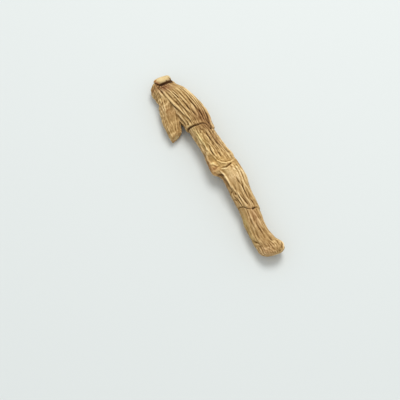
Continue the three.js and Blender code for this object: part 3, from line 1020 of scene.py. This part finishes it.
def math_node(tree, operation, first, second=0.5, third=0.5):
    """The result of a sum on one, two or three values."""
    inputs = {0: first, 1: second, 2: third}
    return shader_node(tree, "ShaderNodeMath", inputs, operation=operation).outputs[0]


def ranged(tree, value, low, high, to_low=0.0, to_high=1.0):
    """A value carried from one range to another, held at its ends."""
    inputs = {"Value": value, "From Min": low, "From Max": high, "To Min": to_low, "To Max": to_high}
    return shader_node(tree, "ShaderNodeMapRange", inputs).outputs["Result"]


def mixed(tree, blend, factor, first, second):
    """Two colours mixed in the given way."""
    ends = [value if isinstance(value, bpy.types.NodeSocket) else (*value, 1) for value in (first, second)]
    settings = {"data_type": "RGBA", "blend_type": blend, "clamp_result": True}
    return shader_node(tree, "ShaderNodeMix", {0: factor, 6: ends[0], 7: ends[1]}, **settings).outputs[2]


def noise_node(tree, vector, scale, detail=3.0, roughness=0.55, distortion=0.0):
    """Fractal noise from 0 to 1, by a scale in cells for each unit of the vector."""
    inputs = {"Vector": vector, "Scale": scale, "Detail": detail, "Roughness": roughness}
    return shader_node(tree, "ShaderNodeTexNoise", inputs | {"Distortion": distortion}).outputs[0]


def stretched(tree, vector, lengthwise):
    """The grain drawn out along the root, so that a pattern on it is long and thin."""
    inputs = {"Vector": vector, "Scale": (1 / lengthwise, 1, 1)}
    return shader_node(tree, "ShaderNodeMapping", inputs).outputs[0]


def fibre_group():
    """Dry plant fibres that run with the grain: a streak value from 0 to 1, and the height of the fibres."""
    group = bpy.data.node_groups.new("Dry fibres", "ShaderNodeTree")
    group.interface.new_socket("Grain", in_out="INPUT", socket_type="NodeSocketVector")
    group.interface.new_socket("Fineness", in_out="INPUT", socket_type="NodeSocketFloat")
    group.interface.new_socket("Streak", in_out="OUTPUT", socket_type="NodeSocketFloat")
    group.interface.new_socket("Height", in_out="OUTPUT", socket_type="NodeSocketFloat")
    taken = group.nodes.new("NodeGroupInput")
    given = group.nodes.new("NodeGroupOutput")
    grain, fineness = taken.outputs["Grain"], taken.outputs["Fineness"]
    finer = math_node(group, "MULTIPLY", fineness, SHORT_FINENESS)
    streak = 0.0
    for scale, (drawn_out, part, *rest) in ((fineness, LONG_STRANDS), (finer, SHORT_STRANDS)):
        strands = noise_node(group, stretched(group, grain, drawn_out), scale, *rest)
        streak = math_node(group, "MULTIPLY_ADD", strands, part, streak)
    group.links.new(ranged(group, streak, *STREAK_ENDS), given.inputs["Streak"])
    group.links.new(streak, given.inputs["Height"])
    return group


def fibres(tree, group, grain, fineness):
    """The fibre group, placed in a material with its own fineness."""
    node = shader_node(tree, "ShaderNodeGroup", node_tree=group)
    set_inputs(tree, node, {"Grain": grain, "Fineness": fineness})
    return node.outputs["Streak"], node.outputs["Height"]


def attribute(tree, name, output="Fac"):
    """A value that the mesh carries."""
    return shader_node(tree, "ShaderNodeAttribute", attribute_name=name).outputs[output]


def new_material(name):
    """A new material, its node tree and its Principled shader."""
    material = bpy.data.materials.new(name)
    material.use_nodes = True
    tree = material.node_tree
    return material, tree, tree.nodes["Principled BSDF"]


def set_surface(tree, shader, colour, roughness, relief, strength):
    """Gives the shader its colour, its roughness and its bumps."""
    bumps = {"Height": relief, "Strength": strength, "Distance": BUMP_DEPTH}
    normal = shader_node(tree, "ShaderNodeBump", bumps).outputs["Normal"]
    inputs = {"Base Color": colour, "Roughness": roughness, "Normal": normal, "Specular IOR Level": SPECULAR}
    set_inputs(tree, shader, inputs)


def bark_material(colours, group):
    """Dried bark: painted shade darkens its furrows and painted highlight lightens its ribs. It is streaked
    with the grain and tinted in places, some of the tints being painted highlight and painted shade."""
    material, tree, shader = new_material("Dried bark")
    grain = attribute(tree, "grain", "Vector")
    tone = attribute(tree, "tone")
    streak, height = fibres(tree, group, grain, BARK_FINENESS)
    patches = noise_node(tree, stretched(tree, grain, PATCHES[0]), *PATCHES[1:])
    speckle = noise_node(tree, stretched(tree, grain, SPECKLE[0]), *SPECKLE[1:])
    level = math_node(tree, "MULTIPLY_ADD", math_node(tree, "SUBTRACT", speckle, 0.5), SPECKLE_TONE, tone)
    # The ramp of colours by tone paints shade into the furrows and highlight onto the crests.
    ramp = shader_node(tree, "ShaderNodeValToRGB", {"Fac": ranged(tree, level, *RAMP_TONES)})
    while len(ramp.color_ramp.elements) < len(RAMP_STOPS):
        ramp.color_ramp.elements.new(0.5)
    for element, (name, position) in zip(ramp.color_ramp.elements, RAMP_STOPS.items()):
        element.position = position
        element.color = (*getattr(colours, name), 1)
    colour = ramp.outputs["Color"]
    for tint in TINTS:
        change = [there / here for there, here in zip(getattr(colours, tint), colours.bark)]
        colour = mixed(tree, "MULTIPLY", attribute(tree, tint), colour, change)
    colour = mixed(tree, "MULTIPLY", ranged(tree, patches, 0.45, 0.7, 0, 0.4), colour, colours.patch)
    colour = mixed(tree, "MULTIPLY", ranged(tree, streak, 0.45, 0.1, 0, 0.7), colour, colours.streak)
    # Light fibre lines, kept out of the furrows: pale fibres and painted highlight on their fine crests.
    strands = ranged(tree, streak, 0.6, 0.95, 0, 0.45)
    strands = math_node(tree, "MULTIPLY", strands, ranged(tree, tone, -1.2, 0))
    colour = mixed(tree, "MIX", strands, colour, colours.rib)
    relief = math_node(tree, "MULTIPLY_ADD", speckle, SPECKLE_BUMPS, height)
    set_surface(tree, shader, colour, ranged(tree, streak, 0, 1, 0.95, 0.75), relief, BARK_BUMPS)
    return material


def wood_material(colours, group):
    """Pale cut wood: cream, a little darker and browner towards its edge, where the skin stains it and the
    groove's painted shade lies, with open pores.
    """
    material, tree, shader = new_material("Pale cut wood")
    grain = attribute(tree, "grain", "Vector")
    place = shader_node(tree, "ShaderNodeTexCoord").outputs["Object"]
    streak, height = fibres(tree, group, grain, WOOD_FINENESS)
    blotches = noise_node(tree, place, BLOTCHES, 4.0)
    pores = shader_node(tree, "ShaderNodeTexVoronoi", {"Vector": place, "Scale": PORES}).outputs["Distance"]
    colour = mixed(tree, "MIX", ranged(tree, blotches, 0.4, 0.75), colours.wood, colours.wood_shade)
    # Low tone gives the wood the crack colour: painted shade in the groove by the rim, and the plug's dark
    # marks.
    colour = mixed(tree, "MIX", ranged(tree, attribute(tree, "tone"), -0.2, -2.0), colour, colours.crack)
    uneven = math_node(tree, "SUBTRACT", blotches, 0.5)
    skin = math_node(tree, "MULTIPLY_ADD", uneven, SKIN_BLOTCHES, attribute(tree, "skin"))
    colour = mixed(tree, "MIX", ranged(tree, skin, 0.15, 0.5), colour, colours.stain)
    colour = mixed(tree, "MIX", ranged(tree, skin, 0.5, 0.8), colour, colours.bark)
    colour = mixed(tree, "MULTIPLY", ranged(tree, pores, 0.25, 0.1, 0, 0.5), colour, colours.streak)
    relief = math_node(tree, "ADD", height, blotches)
    set_surface(tree, shader, colour, ranged(tree, streak, 0, 1, 0.9, 0.7), relief, WOOD_BUMPS)
    return material


def plain_material(name, colour):
    """One matt colour, for the floor."""
    material, tree, shader = new_material(name)
    set_inputs(tree, shader, {"Base Color": (*colour, 1), "Roughness": FLOOR_ROUGHNESS})
    return material


# ---- Settings ----


def colour_setting(name, description, *shade):
    """A colour to set, whose default is given in steps of 0 to 255."""
    return bpy.props.FloatVectorProperty(
        name=name, description=description, subtype="COLOR", default=paint(*shade), min=0, max=1
    )


def number_setting(name, description, default, **rest):
    """A number to set, with its least and greatest value and its unit where it has them."""
    return bpy.props.FloatProperty(name=name, description=description, default=default, **rest)


def share_setting(name, description):
    """A share to set, of what a height or a depth usually is."""
    return number_setting(name, description, 1, subtype="FACTOR", min=0, max=2)


class CostusBark(bpy.types.PropertyGroup):
    """How strong the bark's forms are, and how far the pale plug stands out."""

    ribs: share_setting("Ribs", "Height of the ribs")
    folds: share_setting("Folds", "Height of the ridges and depth of the grooves")
    cracks: share_setting("Cracks", "Depth of the cracks at the joints")
    plug_height: number_setting(
        "Plug height", "From the rim of the skin to the cut face", PLUG_HEIGHT * MM, unit="LENGTH", min=0
    )


class CostusColours(bpy.types.PropertyGroup):
    """The colours of the bark and of the cut wood."""

    # Through the tone, the furrow and rib colours carry painted shade in furrows and painted highlight on
    # crests.
    crack: colour_setting("Crack", "The deepest furrows", 82, 50, 14)
    furrow: colour_setting("Furrow", "Between the ribs", 148, 115, 63)
    bark: colour_setting("Bark", "The flanks of the ribs", 185, 150, 96)
    rib: colour_setting("Rib", "The crests of the ribs", 230, 198, 141)
    golden: colour_setting("Golden", "Round the middle joint", 202, 162, 98)
    # Partly bark worn light, partly painted highlight along the right edge and painted light on shaded
    # flanks.
    pale: colour_setting("Pale", "Where the bark is worn light", 214, 181, 128)
    # Also painted shade under the stub and in the hollow by the leg's head.
    brown: colour_setting("Brown", "Before the first joint", 138, 98, 55)
    rosy: colour_setting("Rosy", "On the last ribs", 194, 152, 108)
    green: colour_setting("Green", "Faint patches on the side", 184, 164, 94)
    patch: colour_setting("Patch", "Broad stains in the bark", 214, 196, 168)
    streak: colour_setting("Streak", "Thin dark lines with the grain", 186, 154, 114)
    wood: colour_setting("Wood", "The cut wood", 227, 200, 146)
    stain: colour_setting("Stain", "Where the skin meets the cut wood", 176, 116, 66)
    wood_shade: colour_setting("Wood shade", "Its darker parts", 200, 170, 115)


class CostusStage(bpy.types.PropertyGroup):
    """The floor, the lights and the camera."""

    floor: colour_setting("Floor", "The floor's colour", 216, 220, 217)
    key_power: number_setting("Key light", "The power of the large soft lamp", 8.2, subtype="POWER", min=0)
    sky: number_setting("Sky", "The strength of the light from all round", 0.72, min=0)
    azimuth: number_setting("Azimuth", "The camera's turn round the root", math.radians(61), subtype="ANGLE")
    elevation: number_setting("Elevation", "Its height over the floor", math.radians(66), subtype="ANGLE")
    distance: number_setting("Distance", "From it to what it aims at", 0.46, unit="LENGTH", min=0.1)


# ---- Operators ----


class MESH_OT_costus_root(bpy.types.Operator):
    """Grow the dried root with its leg, its stub and its cut crown"""

    bl_idname = "mesh.costus_root"
    bl_label = "Costus Root"
    bl_options = {"REGISTER", "UNDO"}

    def execute(self, context):
        if ROOT_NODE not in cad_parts:
            raise RuntimeError("The frame has no node named " + ROOT_NODE)
        bark, colours = context.scene.costus_bark, context.scene.costus_colours
        mesh = joined(closed_mesh("root", *grow_root(bark)), closed_mesh("leg", *grow_leg(bark)))
        if not is_closed(mesh):
            raise RuntimeError("The root and its leg didn't join into one closed mesh")
        mesh.name = "dried_root"
        mesh.polygons.foreach_set("use_smooth", np.ones(len(mesh.polygons), bool))
        group = fibre_group()
        mesh.materials.clear()
        mesh.materials.append(bark_material(colours, group))
        mesh.materials.append(wood_material(colours, group))
        bare = read(mesh, "bare")[numbers_of(mesh.loops, "vertex_index"), 0]
        wood = np.minimum.reduceat(bare, numbers_of(mesh.polygons, "loop_start")) > 0.5
        mesh.polygons.foreach_set("material_index", wood.astype(np.int32))
        mesh.update()
        piece = placed("dried_root", mesh)
        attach(piece, "root")
        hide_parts(ROOT_NODE)
        return {"FINISHED"}


class SCENE_OT_costus_stage(bpy.types.Operator):
    """Lay the floor, hang the lights and place the camera"""

    bl_idname = "scene.costus_stage"
    bl_label = "Costus Stage"
    bl_options = {"REGISTER", "UNDO"}

    def execute(self, context):
        scene = context.scene
        stage = scene.costus_stage
        lay_floor(stage)
        hang_lights(stage)
        place_camera(stage)
        scene.view_settings.view_transform = "Standard"
        return {"FINISHED"}


def lay_floor(stage):
    """A square floor at z = 0."""
    half = FLOOR_WIDTH / 2
    mesh = bpy.data.meshes.new("floor")
    corners = [(-half, -half, 0), (half, -half, 0), (half, half, 0), (-half, half, 0)]
    mesh.from_pydata(corners, [], [(0, 1, 2, 3)])
    mesh.materials.append(plain_material("Pale floor", stage.floor))
    floor = placed("floor", mesh)


def hang_lights(stage):
    """A large soft lamp high behind the root, and an even sky."""
    lamp = bpy.data.lights.new("key", "AREA")
    lamp.shape = "DISK"
    lamp.size = KEY_WIDTH
    lamp.energy = stage.key_power
    key = placed("key", lamp)
    key.location = tuple(KEY_DISTANCE * part for part in KEY_DIRECTION)
    key.rotation_euler = (-Vector(key.location)).to_track_quat("-Z", "Y").to_euler()
    world = bpy.data.worlds.new("Studio")
    world.use_nodes = True
    background = world.node_tree.nodes["Background"]
    set_inputs(world.node_tree, background, {"Color": (*SKY_COLOUR, 1), "Strength": stage.sky})
    bpy.context.scene.world = world


def place_camera(stage):
    """The camera looks down along its azimuth and elevation at a point beside the root."""
    camera = bpy.data.cameras.new("camera")
    camera.lens = CAMERA_LENS
    camera.sensor_width = CAMERA_SENSOR
    eye = placed("camera", camera)
    turn, tilt = stage.azimuth, stage.elevation
    back = Vector((math.sin(turn) * math.cos(tilt), -math.cos(turn) * math.cos(tilt), math.sin(tilt)))
    eye.location = Vector(CAMERA_AIM) + stage.distance * back
    eye.rotation_euler = (math.pi / 2 - tilt, 0, turn)
    bpy.context.scene.camera = eye


class VIEW3D_PT_costus_root(bpy.types.Panel):
    """The root's pieces and settings"""

    bl_idname = "VIEW3D_PT_costus_root"
    bl_label = "Costus Root"
    bl_space_type = "VIEW_3D"
    bl_region_type = "UI"
    bl_category = "Costus Root"

    def draw(self, context):
        layout = self.layout
        for group, settings in SETTINGS.items():
            for name in settings.__annotations__:
                layout.prop(getattr(context.scene, group), name)
        for operator in OPERATORS:
            layout.operator(operator.bl_idname)


SETTINGS = {"costus_bark": CostusBark, "costus_colours": CostusColours, "costus_stage": CostusStage}
OPERATORS = (MESH_OT_costus_root, SCENE_OT_costus_stage)
CLASSES = (*SETTINGS.values(), *OPERATORS, VIEW3D_PT_costus_root)


def register():
    for cls in CLASSES:
        bpy.utils.register_class(cls)
    for name, settings in SETTINGS.items():
        setattr(bpy.types.Scene, name, bpy.props.PointerProperty(type=settings))


def unregister():
    for name in SETTINGS:
        delattr(bpy.types.Scene, name)
    for cls in reversed(CLASSES):
        bpy.utils.unregister_class(cls)


def main():
    """Makes the root and its stage."""
    register()
    bpy.ops.mesh.costus_root()
    bpy.ops.scene.costus_stage()


if __name__ == "__main__":
    main()
